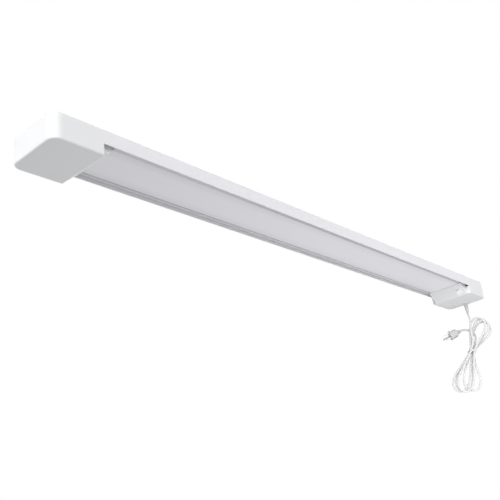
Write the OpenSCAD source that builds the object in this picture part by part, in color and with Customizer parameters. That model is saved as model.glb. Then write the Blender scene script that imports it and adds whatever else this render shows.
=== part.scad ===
// Hanging shop light: a folded steel channel with two moulded end caps, a frosted lens, two rows
// of LED boards, a driver in one cap, a rocker switch and a mains cord folded into a hank.
// Millimetres. The origin is the centre of the housing's top face, +X runs to the cord end and +Z up.

/* [Housing] */
// Overall length over both end caps
body_len = 1219; // [1000:1:1500]
// Width of the housing and of the caps
body_w = 100; // [96:1:130]
// Depth of the housing's skirts
skirt_depth = 23; // [22:0.5:30]
// Thickness of the housing's sheet
housing_sheet = 0.8; // [0.6:0.1:1.2]
// Outer radius of the bends along the housing's top
housing_bend = 2; // [1.5:0.1:3]
// Height of the hem folded up inside each skirt
hem_h = 5; // [3.5:0.5:7]
// Diameter of a hanging hole
hang_hole_d = 5; // [4:0.5:6]
// Spacing of the hanging holes along the housing
hang_spacing_x = 900; // [600:1:920]
// Distance of a hanging hole from the housing's side
hang_edge = 6.5; // [5:0.5:7.5]

/* [End caps] */
// Depth of an end cap
cap_depth = 41; // [39:0.5:55]
// Length of an end cap along its sides
cap_len = 81; // [79:1:100]
// Corner radius of a cap seen from above
cap_corner = 15; // [10:1:18]
// Radius along a cap's upper and lower edges
cap_edge = 2.5; // [1.5:0.1:4]
// Wall thickness of a cap
cap_wall = 2.5; // [2:0.1:3]
// Length of the ramp from the cap's underside up to the lens
ramp_run = 26; // [24:1:30]
// Distance of the ramp's cheeks from the housing's sides
ramp_inset = 8.5; // [8:0.5:12]
// Length of the tongue that enters the housing
tongue_len = 15; // [12:1:18]
// Thickness of the tongue
tongue_t = 3.7; // [3.4:0.1:4.5]
// Width of the tongue
tongue_w = 60; // [54:1:64]

/* [Lens] */
// Thickness of the lens
lens_t = 1.5; // [1:0.1:2]
// Height from the skirts' lower edge up to the lens's face
lens_recess = 4.3; // [4:0.1:5.5]
// Height of the lens's slanted sides
lens_rise = 3.7; // [3:0.1:4.5]
// Distance of the lens's flat face from the housing's sides
lens_inset = 13.7; // [12.5:0.1:15]
// Thickness of the lens rails' sheet
rail_sheet = 0.8; // [0.6:0.1:1]
// Height of a lens rail
rail_h = 9; // [6:0.5:10]

/* [LED tray and boards] */
// Thickness of the tray's sheet
tray_sheet = 0.8; // [0.6:0.1:1]
// Width of the tray's flat web
tray_w = 68; // [66:1:72]
// How far each reflector side leans outwards
tray_lean = 5; // [3:0.5:6]
// Diameter of a pressed foot
foot_d = 12; // [11:0.5:13]
// Width of an LED board
board_w = 16; // [13:0.5:18]
// Thickness of an LED board
board_t = 1.2; // [1:0.1:1.6]
// Distance between the two rows of boards
row_gap = 34; // [32:0.5:38]
// Number of LEDs on each board
chips = 20; // [12:2:28]
// Length of an LED
chip_l = 3.5; // [2.8:0.1:5]
// Height of an LED
chip_h = 0.7; // [0.5:0.1:1]
// Height of a board connector
connector_h = 3.8; // [3.2:0.1:4.5]
// Diameter of a rivet's shank
rivet_d = 4; // [3:0.1:4.8]
// Diameter of the screws that hold the boards, caps and driver
screw_d = 2.9; // [2.5:0.1:3]

/* [Driver] */
// Length of the driver's case
driver_len = 63; // [56:1:64]
// Width of the driver's case
driver_w = 39; // [34:1:40]
// Height of the driver's case
driver_h = 25; // [22:0.5:26]
// Sheet thickness of the driver's case
driver_sheet = 1; // [0.8:0.1:1.2]

/* [Rocker switch] */
// Length of the switch's bezel, down the ramp
bezel_len = 17.6; // [17:0.1:20]
// Width of the switch's bezel
bezel_w = 12.6; // [12:0.1:15]
// Thickness of the bezel
bezel_t = 1.5; // [1:0.1:2]
// Length of the rocker
rocker_len = 12.4; // [11:0.1:12.6]
// Width of the rocker
rocker_w = 8.6; // [7:0.1:8.8]
// Angle that the rocker turns from off to on
rocker_throw = 20; // [14:1:22]
// Distance of the switch from the middle of the ramp
switch_y = 25; // [18:1:27]

/* [Cord] */
// Diameter of the mains cord
cord_d = 5; // [4.6:0.1:5.4]
// Distance of the cord's exit from the cap's end
exit_inset = 11.5; // [10.5:0.5:12]
// Length of the strain relief's tapered sleeve
sleeve_len = 22; // [20:0.5:24]
// Length of the plug's body
plug_len = 30; // [27:0.5:34]
// Width of the plug's body
plug_w = 23; // [22:0.5:26]

/* [Hidden] */

$fn = 48;
slip = 0.1;   // clearance of pieces that slide together
cut = 1;      // how far a cut reaches past the face it opens

// Plan positions
half_w = body_w / 2;
joint_x = body_len / 2 - cap_len;
inner_w = half_w - housing_sheet;
ramp_half = half_w - ramp_inset;
lens_end = joint_x - ramp_run + 2.5;
tray_end = joint_x - tongue_len - 0.5;
board_end = lens_end - 5;
board_gap = 4;
connector_l = 8;
connector_w = 7;
connector_in = 0.5;  // how far a connector stands in from its board's end
bridge_l = 12;       // connector that bridges the two boards of a row
board_len = board_end - board_gap / 2;
tray_cap_w = body_w - 14;       // the tray's end inside a cap
tray_plain_reach = 10;          // how far the tray enters the plain cap
tray_cord_reach = cap_len - 11; // and the cord cap
tongue_root = 11.5;             // how far the tongue runs back into its cap
tray_stop_back = 17;            // rib over the tray's end, from the cap's outer end
tray_stop_t = 5;

// Levels, all below the top face at zero
plate_low = -housing_sheet;
web_top = plate_low - tongue_t - 2 * slip;
web_low = web_top - tray_sheet;
board_low = web_low - board_t;
skirt_low = -skirt_depth;
lens_low = skirt_low + lens_recess;
ledge_top = lens_low + lens_rise;
ledge_low = ledge_top - rail_sheet;
tray_side_low = ledge_top + lens_t + 0.3;
ramp_top = lens_low - 0.3;
cheek_top = ledge_low - 0.2;  // the ramp's cheeks stand up beside the lens's end
cap_low = -cap_depth;
cap_floor = cap_low + cap_wall;

// The lens's section
lens_flat = half_w - lens_inset;
lens_edge = inner_w - rail_sheet - 0.9;
lens_shoulder = lens_edge - 4.6;
lens_lean = atan2(lens_rise, lens_shoulder - lens_flat);
lens_mitre = lens_t * tan(lens_lean / 2);

// Screws
screw_r = screw_d / 2;
head_r = screw_r * 1.9;
head_h = screw_r * 1.3;
cap_screw_x = joint_x - tongue_len / 2;
cap_screw_y = tongue_w / 2 - 8;
chip_pitch = board_len / chips;
board_screw_steps = [1, chips / 2, chips - 1];
rows = [row_gap / 2, -row_gap / 2];
foot_r = foot_d / 2;
rivet_r = rivet_d / 2;
foot_xs = [for (i = [-2:2]) i * (board_end - 20) / 2];

// Driver
driver_x = joint_x + cap_wall + 1;
driver_y = half_w - cap_wall - 3 - driver_w;
driver_low = web_low - driver_h;
post_h = 4.5;
circuit_top = web_low - driver_sheet - post_h;
circuit_t = 1.6;
circuit_low = circuit_top - circuit_t;
driver_screw_xs = [driver_x + 14, driver_x + driver_len - 14];
driver_mid_y = driver_y + driver_w / 2;
supply_xs = [driver_x + 10, driver_x + 18];
led_out_ys = [driver_y + 11, driver_y + 19];
cover_t = 0.8;
cover_lip = 4;
core_size = [20, 16, 5];
winding_r = 6.5;
capacitor_places = [  // along, across and radius, from the driver's corner
    [24, 12, 5], [24, 25, 5], [driver_len - 8, 15, 4]
];
transformer_x = driver_x + driver_len - 23;
post_inset = 5;
post_places = [
    for (x = [driver_x + post_inset, driver_x + driver_len - post_inset])
        for (y = [driver_y + post_inset, driver_y + driver_w - post_inset]) [x, y]
];

// Wires
wire_r = 0.8;
wire_hole_r = 1.1;
pole_pitch = 8;
block_len = 18;
stub_back = 17;       // from the cord's exit back to the end of its sheath
stub_level = web_low - 18.5;
block_w = 3 * pole_pitch;
block_h = 13.5;
core_room = 11;                                    // between the cord's end and the block
block_x = body_len / 2 - exit_inset - stub_back - core_room - block_len;
block_y = 36 - half_w;
pole_z = web_low - 7.5;
pole_ys = [for (i = [0:2]) block_y - (i + 0.5) * pole_pitch];
ground_x = body_len / 2 - exit_inset - 15;
ground_y = 18 - half_w;
supply_z = web_low - 14.5;
led_out_z = web_low - 10.5;
connector_wire_z = board_low - connector_h / 2;

// Switch: its frame lies on the ramp, u down the slope and w outwards
ramp_drop = ramp_top - cap_low;
ramp_angle = atan2(ramp_drop, ramp_run);
switch_along = 0.62;
switch_at = [
    joint_x - ramp_run * (1 - switch_along),
    -switch_y,
    ramp_top - ramp_drop * switch_along
];
rocker_pivot = -1;
rocker_mid = 3;
rocker_depth = 5;
well_half_len = rocker_len / 2 + 0.9;
well_half_w = rocker_w / 2 + 0.3;
frame_wall = 0.8;
frame_depth = 13;
trunnion_r = 1;
trunnion_play = 0.05;
terminal_len = 6;
terminal_offset = 4.4;

// Cord exit
cord_r = cord_d / 2;
exit_x = body_len / 2 - exit_inset;
neck_r = cord_r + 2.5;
collar_r = cord_r + 4.5;
collar_h = 2.5;
flange_h = 1.8;
sleeve_low = cap_low - flange_h - sleeve_len + 0.8;
rib_count = 5;

// Hank: flattened loops laid side by side, each drawn in at the waist. Each entry is half a turn.
loop_reach = [103, 84, 96, 86, 104, 84, 98];
loop_bulge = [36, 34, 40, 34, 36, 36, 38];
loop_swing = [0, -1, -12, 7, 6, 13, 0];
fold_power = 1.6;  // a lower power makes a rounder fold
waist_at = [602.3, 13.8, -158];
waist_half = 4.2;
waist_step = 6.6;
hank_tilt = 25;
hank_heading = 50;
lead_in = 14;
loop_rings = 24;
half_turns = len(loop_reach);
tie_half = 2.2;
tie_t = 0.9;
tie_slack = 0.6;

// Cord routes, picked by hand
lead_route = [
    [597.2, -1.8, -82], [594.9, -1.9, -96], [594.6, 0, -108], [596, 1.8, -120], [597.8, 2.7, -131]
];
tail_route = [
    [622, 8.7, -132.8], [626.1, 6.9, -121.8], [626, 8.6, -112.6], [622.7, 12.9, -105.3],
    [616.8, 18.8, -101.2]
];
plug_at = [603.1, 30.6, -101.4];
plug_heading = 130;
plug_droop = 18;
blade_gap = 12.7;
blade_len = 17;
blade_w = 6.35;
blade_t = 1.5;
blade_shift = 4.2;
blade_root = 6;
pin_shift = -7.7;
pin_r = 2.4;
pin_tip = 2.5;
plug_neck = 8;
stub_bend = [  // back from the exit, share of the way across to the block, below the stub's end
    [0, 0, 10.5], [1, 0.14, 7], [4, 0.43, 4], [8, 0.79, 1.5], [12, 1, 0], [stub_back, 1, 0]
];

// ---------- vectors and swept tubes ----------

function unit(v) = v / norm(v);
function heading(a, lift) = [cos(a) * cos(lift), sin(a) * cos(lift), sin(lift)];
function ease(x) = (1 - cos(180 * min(1, max(0, x)))) / 2;

function tangents(route) = [
    for (i = [0:len(route) - 1])
        unit(route[min(i + 1, len(route) - 1)] - route[max(i - 1, 0)])
];

function side_of(t) = unit(cross(t, abs(t[2]) < 0.9 ? [0, 0, 1] : [1, 0, 0]));

// One side vector per ring, carried along the route without twisting
function carried(ts) = [
    for (i = 0, n = side_of(ts[0]);
         i < len(ts);
         i = i + 1, n = i < len(ts) ? unit(n - (n * ts[i]) * ts[i]) : n) n
];

module tube(route, r, sides) {
    ts = tangents(route);
    ns = carried(ts);
    last = len(route) - 1;
    points = [
        for (i = [0:last])
            for (k = [0:sides - 1])
                route[i] + r * (cos(360 * k / sides) * ns[i] + sin(360 * k / sides) * cross(ts[i], ns[i]))
    ];
    skin = [
        for (i = [0:last - 1])
            for (k = [0:sides - 1])
                let (a = i * sides + k, b = i * sides + (k + 1) % sides)
                    for (f = [[a, a + sides, b], [b, a + sides, b + sides]]) f
    ];
    near_end = [for (k = [1:sides - 2]) [0, k, k + 1]];
    far_end = [for (k = [1:sides - 2]) [last * sides, last * sides + k + 1, last * sides + k]];
    polyhedron(points = points, faces = concat(skin, near_end, far_end), convexity = 8);
}

// ---------- flat outlines ----------

// Extrudes an outline drawn across the housing (x across, y up) along the housing
module along_x(from, to) {
    translate([from, 0, 0])
        rotate([90, 0, 90])
            linear_extrude(to - from) children();
}

module both_sides() {
    children();
    mirror([1, 0, 0]) children();
}

// Rectangle w wide and h deep below zero, with its two outer corners rounded
module rounded_half(w, h, r) {
    translate([0, -h]) square([w - r, h]);
    translate([0, r - h]) square([w, h - 2 * r]);
    translate([w - r, r - h]) circle(r);
    translate([w - r, -r]) circle(r);
}

// A screw hanging head down: the head's upper face at zero, the shank reaching up
module screw(shank) {
    translate([0, 0, -head_h]) cylinder(r = head_r, h = head_h);
    cylinder(r = screw_r, h = shank);
}

module hole_up(r, from, to) {
    translate([0, 0, from]) cylinder(r = r, h = to - from);
}

// ---------- housing ----------

module skirt_outline() {
    difference() {
        union() {
            translate([0, skirt_low + housing_sheet])
                square([half_w, skirt_depth - housing_bend - housing_sheet]);
            translate([0, -housing_bend]) square([half_w - housing_bend, housing_bend]);
            translate([half_w - housing_bend, -housing_bend]) circle(housing_bend);
            translate([half_w - housing_sheet, skirt_low + housing_sheet]) circle(housing_sheet);
        }
        translate([-cut, skirt_low - cut])
            square([half_w - 2 * housing_sheet + cut, skirt_depth - housing_bend + cut]);
        translate([-cut, skirt_low + hem_h])
            square([inner_w + cut, skirt_depth - hem_h - housing_bend]);
        translate([-cut, -housing_bend - cut])
            square([half_w - housing_bend + cut, housing_bend - housing_sheet + cut]);
        translate([half_w - housing_bend, -housing_bend]) circle(housing_bend - housing_sheet);
    }
}

module housing() {
    color([0.93, 0.94, 0.95])
        difference() {
            along_x(-joint_x, joint_x) both_sides() skirt_outline();
            for (x = [-1, 1], y = [-1, 1])
                translate([x * hang_spacing_x / 2, y * (half_w - hang_edge), 0])
                    hole_up(hang_hole_d / 2, plate_low - cut, cut);
            for (x = foot_xs)
                translate([x, 0, plate_low])
                    cylinder(r1 = rivet_r + slip, r2 = rivet_r * 1.6 + slip, h = housing_sheet);
        }
}

// ---------- end caps ----------

// Outside of a cap, its open end at x = 0
module cap_block() {
    straight = cap_len - cap_corner;
    along_x(0, straight) both_sides() rounded_half(half_w, cap_depth, cap_edge);
    translate([straight, half_w - cap_corner, 0])
        rotate([90, 0, 0])
            linear_extrude(2 * (half_w - cap_corner)) rounded_half(cap_corner, cap_depth, cap_edge);
    translate([straight, half_w - cap_corner, 0])
        rotate_extrude(angle = 90) rounded_half(cap_corner, cap_depth, cap_edge);
    translate([straight, cap_corner - half_w, 0])
        rotate([0, 0, -90])
            rotate_extrude(angle = 90) rounded_half(cap_corner, cap_depth, cap_edge);
}

module cap_cavity() {
    inside_w = half_w - cap_wall;
    inside_r = cap_corner - cap_wall;
    inside_end = cap_len - cap_wall;
    translate([0, 0, cap_floor])
        linear_extrude(cap_depth - 2 * cap_wall) {
            translate([cap_wall, -inside_w])
                square([inside_end - inside_r - cap_wall, 2 * inside_w]);
            translate([cap_wall, inside_r - inside_w])
                square([inside_end - cap_wall, 2 * (inside_w - inside_r)]);
            for (y = [-1, 1])
                translate([inside_end - inside_r, y * (inside_w - inside_r)]) circle(inside_r);
        }
    translate([-cut, -inside_w, skirt_low])
        cube([cap_wall + 2 * cut, 2 * inside_w, skirt_depth - cap_wall]);
}

module ramp_prism(half, outline) {
    translate([0, half, 0])
        rotate([90, 0, 0])
            linear_extrude(2 * half) polygon(outline);
}

module cap_shell() {
    plate_rise = cap_wall / cos(ramp_angle);
    cheek_run = (ramp_drop - plate_rise) / tan(ramp_angle);
    inner_run = (cheek_top + cut - cap_low - plate_rise) / tan(ramp_angle);
    difference() {
        union() {
            cap_block();
            ramp_prism(ramp_half, [
                [-ramp_run, ramp_top], [0, cap_low], [cut, cap_low],
                [cut, cheek_top], [-cheek_run, cheek_top], [-cheek_run, ramp_top]
            ]);
        }
        cap_cavity();
        ramp_prism(ramp_half - cap_wall, [
            [-inner_run, cheek_top + cut],
            [0, cap_low + plate_rise],
            [cap_wall + cut, cap_floor],
            [cap_wall + cut, cheek_top + cut]
        ]);
    }
    difference() {
        translate([-tongue_len, -tongue_w / 2, web_top + slip])
            cube([tongue_len + tongue_root, tongue_w, tongue_t]);
        for (y = [-1, 1])
            translate([cap_screw_x - joint_x, y * cap_screw_y, 0])
                hole_up(screw_r + 0.05, web_top, plate_low - 0.6);
    }
}

module plain_end_cap() {
    color([0.95, 0.95, 0.96])
        mirror([1, 0, 0])
            translate([joint_x, 0, 0]) cap_shell();
}

module cord_end_cap() {
    color([0.95, 0.95, 0.96])
        difference() {
            translate([joint_x, 0, 0]) {
                cap_shell();
                translate([cap_len - tray_stop_back, -tongue_w / 2, web_top + slip])
                    cube([tray_stop_t, tongue_w, -web_top - cap_wall / 2]);
            }
            translate([exit_x, 0, 0]) hole_up(neck_r + slip, cap_low - cut, cap_floor + cut);
            on_ramp()
                centred_box(
                    2 * (well_half_len + frame_wall + slip), 2 * (well_half_w + frame_wall + slip),
                    -cap_wall - cut, cut
                );
        }
}

// ---------- lens and its rails ----------

module lens() {
    color([0.86, 0.86, 0.9])
        along_x(-lens_end, lens_end)
            polygon([
                [-lens_edge, ledge_top], [-lens_shoulder, ledge_top], [-lens_flat, lens_low],
                [lens_flat, lens_low], [lens_shoulder, ledge_top], [lens_edge, ledge_top],
                [lens_edge, ledge_top + lens_t], [lens_shoulder - lens_mitre, ledge_top + lens_t],
                [lens_flat - lens_mitre, lens_low + lens_t], [lens_mitre - lens_flat, lens_low + lens_t],
                [lens_mitre - lens_shoulder, ledge_top + lens_t], [-lens_edge, ledge_top + lens_t]
            ]);
}

module lens_rail() {
    along_x(-joint_x + slip, joint_x - slip) {
        translate([inner_w - rail_sheet, ledge_low]) square([rail_sheet, rail_h]);
        translate([lens_shoulder + 0.3, ledge_low])
            square([inner_w - lens_shoulder - 0.3, rail_sheet]);
    }
}

module lens_rail_left() {
    color([0.85, 0.86, 0.88]) lens_rail();
}

module lens_rail_right() {
    color([0.85, 0.86, 0.88])
        mirror([0, 1, 0]) lens_rail();
}

// ---------- tray, boards and their fasteners ----------

module tray_outline() {
    half = tray_w / 2;
    lean = tray_lean / (web_top - tray_side_low);
    thick = tray_sheet * norm([1, lean]);
    foot = half + tray_lean;
    corner = half + lean * tray_sheet - thick;
    polygon([
        [-foot, tray_side_low], [-half, web_top], [half, web_top], [foot, tray_side_low],
        [foot - thick, tray_side_low], [corner, web_low], [-corner, web_low], [thick - foot, tray_side_low]
    ]);
}

module led_tray() {
    color([0.88, 0.89, 0.9])
        difference() {
            union() {
                along_x(-tray_end, tray_end) tray_outline();
                translate([tray_end, -tray_cap_w / 2, web_low])
                    cube([joint_x + tray_cord_reach - tray_end, tray_cap_w, tray_sheet]);
                translate([-joint_x - tray_plain_reach, -tray_cap_w / 2, web_low])
                    cube([joint_x + tray_plain_reach - tray_end, tray_cap_w, tray_sheet]);
                for (x = foot_xs)
                    translate([x, 0, 0]) hole_up(foot_r, web_low, plate_low);
            }
            for (x = foot_xs)
                translate([x, 0, 0]) {
                    hole_up(foot_r - tray_sheet, web_low - cut, plate_low - tray_sheet);
                    hole_up(rivet_r + slip, web_low, plate_low + cut);
                }
            board_screw_places() hole_up(screw_r + slip, web_low - cut, web_top + cut);
            cap_screw_places() hole_up(screw_r + slip, web_low - cut, web_top + cut);
            for (x = driver_screw_xs)
                translate([x, driver_mid_y, 0])
                    hole_up(screw_r + slip, web_low - cut, web_top + cut);
            block_screw_place() hole_up(screw_r + slip, web_low - cut, web_top + cut);
            translate([ground_x, ground_y, 0])
                hole_up(screw_r + slip, web_low - cut, web_top + cut);
        }
}

module tray_rivets() {
    color([0.75, 0.76, 0.78])
        for (x = foot_xs)
            translate([x, 0, 0]) {
                translate([0, 0, plate_low]) cylinder(r1 = rivet_r, r2 = rivet_r * 1.6, h = housing_sheet);
                hole_up(rivet_r, plate_low - tray_sheet - 1.2, plate_low);
                hole_up(rivet_r * 1.8, plate_low - tray_sheet - 1.2, plate_low - tray_sheet);
            }
}

module board_screw_places() {
    for (y = rows, side = [-1, 1], i = board_screw_steps)
        translate([side * (board_gap / 2 + i * chip_pitch), y, 0]) children();
}

module cap_screw_places() {
    for (x = [-1, 1], y = [-1, 1])
        translate([x * cap_screw_x, y * cap_screw_y, 0]) children();
}

module led_board(side, y) {
    color([0.92, 0.93, 0.94])
        difference() {
            translate([side > 0 ? board_gap / 2 : -board_end, y - board_w / 2, board_low])
                cube([board_len, board_w, board_t]);
            board_screw_places() hole_up(screw_r + slip, board_low - cut, web_low + cut);
        }
}

module led_board_1() {
    led_board(1, rows[0]);
}

module led_board_2() {
    led_board(-1, rows[0]);
}

module led_board_3() {
    led_board(1, rows[1]);
}

module led_board_4() {
    led_board(-1, rows[1]);
}

module led_chips() {
    color([0.95, 0.88, 0.55])
        for (y = rows, side = [-1, 1], i = [0:chips - 1])
            translate([
                side * (board_gap / 2 + (i + 0.5) * chip_pitch) - chip_l / 2,
                y - chip_l * 0.4,
                board_low - chip_h
            ])
                cube([chip_l, chip_l * 0.8, chip_h]);
}

module board_connectors() {
    color([0.93, 0.93, 0.9]) {
        for (y = rows)
            translate([-bridge_l / 2, y - connector_w / 2, board_low - connector_h])
                cube([bridge_l, connector_w, connector_h]);
        for (y = rows, side = [-1, 1])
            difference() {
                translate([
                    side > 0 ? board_end - connector_l - connector_in : connector_in - board_end,
                    y - connector_w / 2,
                    board_low - connector_h
                ])
                    cube([connector_l, connector_w, connector_h]);
                translate([side * (board_end - connector_in - 3), y, connector_wire_z])
                    rotate([0, side * 90, 0]) cylinder(r = wire_hole_r, h = 3 + cut);
            }
    }
}

function connector_mouth(side, y) = [side * (board_end - connector_in), y, connector_wire_z];

module row_jumper() {
    a = connector_mouth(-1, rows[0]);
    b = connector_mouth(-1, rows[1]);
    color([0.9, 0.9, 0.88])
        tube([
            a + [2.5, 0, 0], a, a + [-4, -1, 0], a + [-7, -4, 0], a + [-8.5, -9, 0],
            b + [-8.5, 9, 0], b + [-7, 4, 0], b + [-4, 1, 0], b, b + [2.5, 0, 0]
        ], wire_r, 8);
}

module board_screws() {
    color([0.7, 0.71, 0.73])
        board_screw_places()
            translate([0, 0, board_low]) screw(board_t + tray_sheet + 1.2);
}

module cap_screws() {
    color([0.7, 0.71, 0.73])
        cap_screw_places()
            translate([0, 0, web_low]) screw(tray_sheet + slip + tongue_t - 1);
}

// ---------- driver in the cord end cap ----------

module driver_box(inset, from, to) {
    translate([driver_x + inset, driver_y + inset, from])
        cube([driver_len - 2 * inset, driver_w - 2 * inset, to - from]);
}

module driver_case() {
    color([0.72, 0.73, 0.75])
        difference() {
            union() {
                difference() {
                    driver_box(0, driver_low, web_low);
                    driver_box(driver_sheet, driver_low - cut, web_low - driver_sheet);
                }
                for (p = post_places)
                    translate([p[0], p[1], 0]) hole_up(2.5, circuit_top, web_low - driver_sheet / 2);
            }
            for (p = post_places)
                translate([p[0], p[1], 0]) hole_up(1.25, circuit_top - cut, web_low - driver_sheet);
            for (x = driver_screw_xs)
                translate([x, driver_mid_y, 0])
                    hole_up(screw_r + slip, web_low - driver_sheet - cut, web_low + cut);
            for (x = supply_xs)
                translate([x, driver_y - cut, supply_z])
                    rotate([-90, 0, 0]) cylinder(r = wire_hole_r, h = driver_sheet + 2 * cut);
            for (y = led_out_ys)
                translate([driver_x - cut, y, led_out_z])
                    rotate([0, 90, 0]) cylinder(r = wire_hole_r, h = driver_sheet + 2 * cut);
        }
}

module driver_cover() {
    inset = driver_sheet + slip;
    color([0.72, 0.73, 0.75]) {
        driver_box(0, driver_low - cover_t, driver_low);
        difference() {
            driver_box(inset, driver_low - cover_t / 2, driver_low + cover_lip);
            driver_box(inset + cover_t, driver_low, driver_low + cover_lip + cut);
        }
    }
}

module insulating_sheet() {
    top = web_low - driver_sheet - slip;
    color([0.92, 0.9, 0.8])
        difference() {
            driver_box(driver_sheet + 0.3, top - 0.4, top);
            for (p = post_places)
                translate([p[0], p[1], 0]) hole_up(2.8, top - 1, top + cut);
            for (x = driver_screw_xs)
                translate([x, driver_mid_y, 0]) hole_up(head_r + 0.4, top - 1, top + cut);
        }
}

module driver_board() {
    color([0.2, 0.42, 0.27])
        difference() {
            driver_box(driver_sheet + 1, circuit_low, circuit_top);
            for (p = post_places)
                translate([p[0], p[1], 0]) hole_up(1.35, circuit_low - cut, circuit_top + cut);
        }
}

module driver_transformer() {
    gap = 4;
    color([0.25, 0.25, 0.27])
        translate([transformer_x, driver_mid_y, circuit_low]) {
            for (z = [-2 * core_size[2] - gap, -core_size[2]])
                translate([-core_size[0] / 2, -core_size[1] / 2, z]) cube(core_size);
            translate([0, 0, -core_size[2] - gap - 0.5]) cylinder(r = winding_r, h = gap + 1);
        }
}

module driver_capacitors() {
    color([0.16, 0.17, 0.22])
        for (p = capacitor_places)
            translate([driver_x + p[0], driver_y + p[1], circuit_low - 3 * p[2]])
                cylinder(r = p[2], h = 3 * p[2]);
}

module driver_screws() {
    color([0.7, 0.71, 0.73]) {
        for (x = driver_screw_xs)
            translate([x, driver_mid_y, web_low - driver_sheet]) screw(driver_sheet + tray_sheet + 1);
        for (p = post_places)
            translate([p[0], p[1], circuit_low]) {
                hole_up(1.2, 0, circuit_t + post_h - 1);
                hole_up(2.2, -1.2, 0);
            }
    }
}

// ---------- wiring ----------

module block_screw_place() {
    translate([block_x + block_len / 2, pole_ys[1] + pole_pitch / 2, 0]) children();
}

module terminal_block() {
    color([0.9, 0.9, 0.86])
        difference() {
            translate([block_x, block_y - block_w, web_low - block_h])
                cube([block_len, block_w, block_h]);
            for (y = pole_ys) {
                translate([block_x - cut, y, pole_z])
                    rotate([0, 90, 0]) cylinder(r = wire_hole_r, h = block_len + 2 * cut);
                for (x = [4.5, block_len - 4.5])
                    translate([block_x + x, y, 0])
                        hole_up(1.7, web_low - block_h - cut, pole_z);
            }
            block_screw_place() {
                hole_up(screw_r + slip, web_low - block_h - cut, web_low + cut);
                hole_up(head_r + slip, web_low - block_h - cut, web_low - block_h + head_h + 0.5);
            }
        }
}

module ground_screw() {
    color([0.35, 0.6, 0.4]) {
        translate([ground_x, ground_y, web_low - 0.8]) screw(0.8 + tray_sheet + 1);
        block_screw_place()
            translate([0, 0, web_low - block_h + head_h + 0.5])
                screw(block_h - head_h - 0.5 + tray_sheet + 0.8);
    }
}

stub_route = [for (p = stub_bend) [exit_x - p[0], p[1] * block_y, stub_level - p[2]]];

module cord_stub() {
    route = concat(
        [[exit_x, 0, sleeve_low], [exit_x, 0, sleeve_low + cord_d], [exit_x, 0, cap_low - flange_h]],
        stub_route
    );
    color([0.85, 0.85, 0.84]) tube(route, cord_r, 10);
}

// Mouth of a pole on the cord's side of the block
function pole_in(i) = [block_x + block_len, pole_ys[i], pole_z];
function pole_out(i) = [block_x, pole_ys[i], pole_z];
core_start = stub_route[len(stub_route) - 1];

module line_core() {
    a = core_start + [0, 1, 0.6];
    b = pole_in(0);
    color([0.12, 0.12, 0.12])
        tube([a, a - [3, 0, 0], (a + b) / 2 + [-2, 0, -1], b + [2.5, 0, -1], b, b - [4, 0, 0]], wire_r, 8);
}

module neutral_core() {
    a = core_start + [0, -1, 0.6];
    b = pole_in(1);
    color([0.9, 0.9, 0.9])
        tube([
            a, a - [2, 0, 0], (a + b) / 2 + [0, -1, -1], b + [2.5, 0.5, -1], b, b - [4, 0, 0]
        ], wire_r, 8);
}

module ground_core() {
    a = core_start + [0, 0, -1.2];
    ring = [ground_x, ground_y, web_low];
    color([0.25, 0.55, 0.3]) {
        tube([
            a, a - [2.5, 0, 0], a + [-4, -3, -0.5], a + [-3, -8, 1], a + [0, -12, 6],
            ring + [0, 6.5, -5], ring + [0, 5.5, -2], ring + [0, 4.5, -1.2], ring + [0, 3, -0.9]
        ], wire_r / 2, 8);
        difference() {
            translate([ring[0], ring[1], 0]) hole_up(3.4, web_low - 0.8, web_low);
            translate([ring[0], ring[1], 0]) hole_up(screw_r + slip, web_low - 2, web_low + cut);
        }
    }
}

function supply_mouth(i) = [supply_xs[i], driver_y, supply_z];

function into_driver(i) = [
    supply_mouth(i) - [0, 3, 0], supply_mouth(i) + [0, 3, 0], supply_mouth(i) + [0, 5.2, 1.2],
    supply_mouth(i) + [0, 6, 3], [supply_xs[i], driver_y + 6, circuit_low]
];

function switch_tab(side) =
    switch_point([side * terminal_offset, 0, -frame_depth - terminal_len]);

module switch_wires() {
    tab_a = switch_tab(-1);
    tab_b = switch_tab(1);
    inward = switch_point([0, 0, -1]) - switch_point([0, 0, 0]);
    start = pole_out(0);
    color([0.15, 0.15, 0.15]) {
        tube([
            start + [4, 0, 0], start, start - [3, 0, 0], [start[0] - 6, start[1] - 3, start[2]],
            tab_a + 4 * inward + [3, 2, 1], tab_a + 2 * inward, tab_a
        ], wire_r, 8);
        tube(concat(
            [
                tab_b, tab_b + 2 * inward, tab_b + 3 * inward + [3, 4, 0],
                [supply_xs[0] + 1, -8, supply_z - 1]
            ],
            into_driver(0)
        ), wire_r, 8);
    }
}

module neutral_wire() {
    start = pole_out(1);
    color([0.9, 0.9, 0.9])
        tube(concat(
            [
                start + [4, 0, 0], start, start - [2.5, -1, 1.5], start + [-3, 4, -7],
                start + [-2, 10, -9.5], [supply_xs[1], -7, supply_z - 2.5]
            ],
            into_driver(1)
        ), wire_r, 8);
}

function led_out(i) = [driver_x, led_out_ys[i], led_out_z];

function out_of_driver(i) = [
    [driver_x + 5, led_out_ys[i], circuit_low], [driver_x + 5, led_out_ys[i], led_out_z + 2],
    led_out(i) + [4, 0, 0.5], led_out(i) + [2, 0, 0], led_out(i) - [3, 0, 0]
];

module led_wire_plus() {
    end = connector_mouth(1, rows[0]);
    color([0.75, 0.15, 0.12])
        tube(concat(
            out_of_driver(1),
            [
                led_out(1) + [-10, -1, 3], [board_end + 10, end[1] + 1, end[2] - 1.5],
                end + [3, 0, 0], end, end - [2.5, 0, 0]
            ]
        ), wire_r, 8);
}

module led_wire_minus() {
    end = connector_mouth(1, rows[1]);
    color([0.15, 0.15, 0.18])
        tube(concat(
            out_of_driver(0),
            [
                led_out(0) + [-8, -5, 2], [board_end + 18, -2, end[2] - 2],
                [board_end + 10, end[1] + 4, end[2] - 1], end + [3, 0, 0], end, end - [2.5, 0, 0]
            ]
        ), wire_r, 8);
}

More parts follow.
